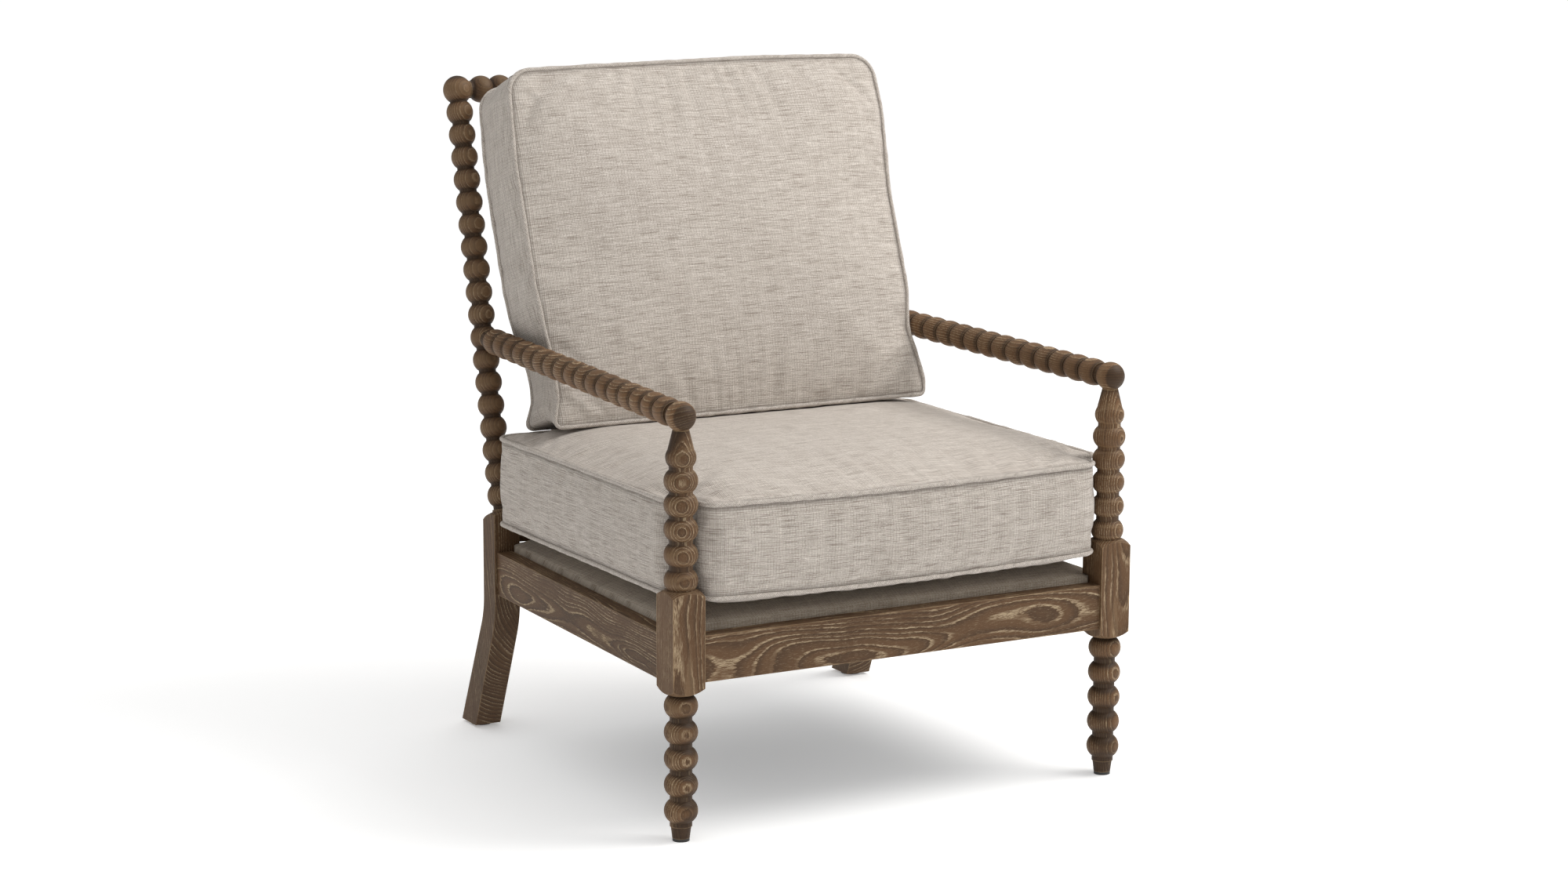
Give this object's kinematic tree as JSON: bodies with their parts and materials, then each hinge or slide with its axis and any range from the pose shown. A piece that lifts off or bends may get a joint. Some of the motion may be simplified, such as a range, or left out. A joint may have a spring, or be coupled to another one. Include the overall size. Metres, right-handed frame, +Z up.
{
  "type": "wooden armchair",
  "caption": "Spool-turned oak armchair with beaded arms, legs and back posts, a sprung fabric seat deck and loose piped seat and back cushions.",
  "frame": {"origin": "on the floor, at the middle of the chair's width and depth", "axes": "+Z up, the chair's front faces -Y, +X to the right seen from the front"},
  "size_m": [0.722, 0.794, 0.9809],
  "materials": {
    "leg_oak": "cerused oak, matt lacquer",
    "rear_leg_oak": "cerused oak, matt lacquer",
    "post_oak": "cerused oak, matt lacquer",
    "spindle_oak": "cerused oak, matt lacquer",
    "top_rail_oak": "cerused oak, matt lacquer",
    "cross_rail_oak": "cerused oak, matt lacquer",
    "side_rail_oak": "cerused oak, matt lacquer",
    "arm_oak": "cerused oak, matt lacquer, a little lighter",
    "inner_wood": "unfinished softwood",
    "screw_steel": "zinc plated",
    "spring_steel": "bright drawn wire",
    "glide_plastic": "moulded, matt",
    "deck_foam": "foam",
    "deck_linen": "basket weave",
    "dust_cloth": "non-woven",
    "seat_linen": "basket weave with slubs",
    "back_linen": "basket weave with slubs",
    "welt_linen": "self-fabric piping",
    "cushion_foam": "foam in fibre wrap",
    "zip_tape": "woven tape with nylon coil",
    "zip_metal": "nickel plated"
  },
  "bodies": {
    "frame": {"front_leg_left": "leg_oak", "front_leg_right": "leg_oak", "rear_leg_left": "rear_leg_oak", "rear_leg_right": "rear_leg_oak", "back_post_left": "post_oak", "back_post_right": "post_oak", "top_rail": "top_rail_oak", "spindle_rail": "cross_rail_oak", "back_spindle_1": "spindle_oak", "back_spindle_2": "spindle_oak", "back_spindle_3": "spindle_oak", "back_spindle_4": "spindle_oak", "back_spindle_5": "spindle_oak", "arm_left": "arm_oak", "arm_right": "arm_oak", "front_rail": "cross_rail_oak", "side_rail_left": "side_rail_oak", "side_rail_right": "side_rail_oak", "back_rail": "cross_rail_oak", "corner_block_front_left": "inner_wood", "corner_block_front_right": "inner_wood", "corner_block_rear_left": "inner_wood", "corner_block_rear_right": "inner_wood", "rail_dowels": "inner_wood", "corner_block_screws": "screw_steel", "deck_screws": "screw_steel", "arm_screws": "screw_steel", "screw_plugs": "arm_oak", "front_glides": "glide_plastic", "rear_glides": "glide_plastic", "deck_frame_front": "inner_wood", "deck_frame_rear": "inner_wood", "deck_frame_left": "inner_wood", "deck_frame_right": "inner_wood", "seat_springs": "spring_steel", "spring_clips": "spring_steel", "deck_pad": "deck_foam", "deck_cover": "deck_linen", "dust_cover": "dust_cloth"},
    "seat_cushion": {"seat_cover": "seat_linen", "seat_foam": "cushion_foam", "seat_top_welt": "welt_linen", "seat_bottom_welt": "welt_linen", "seat_zipper": "zip_tape"},
    "back_cushion": {"back_cover": "back_linen", "back_fill": "cushion_foam", "back_front_welt": "welt_linen", "back_rear_welt": "welt_linen", "back_zipper": "zip_tape"},
    "seat_zip_slider": {"seat_zip_slider": "zip_metal"},
    "back_zip_slider": {"back_zip_slider": "zip_metal"}
  },
  "joints": [
    {"name": "seat_cushion_lift", "type": "slide", "parent": "frame", "child": "seat_cushion", "axis": [0, 0, 1], "range_m": [0, 0.08]},
    {"name": "back_cushion_lift", "type": "slide", "parent": "seat_cushion", "child": "back_cushion", "axis": [0, 0.1908, 0.9816], "range_m": [0, 0.12]},
    {"name": "seat_zip_pull", "type": "slide", "parent": "seat_cushion", "child": "seat_zip_slider", "axis": [1, 0, 0], "range_m": [0, 0.44]},
    {"name": "back_zip_pull", "type": "slide", "parent": "back_cushion", "child": "back_zip_slider", "axis": [1, 0, 0], "range_m": [0, 0.44]}
  ]
}
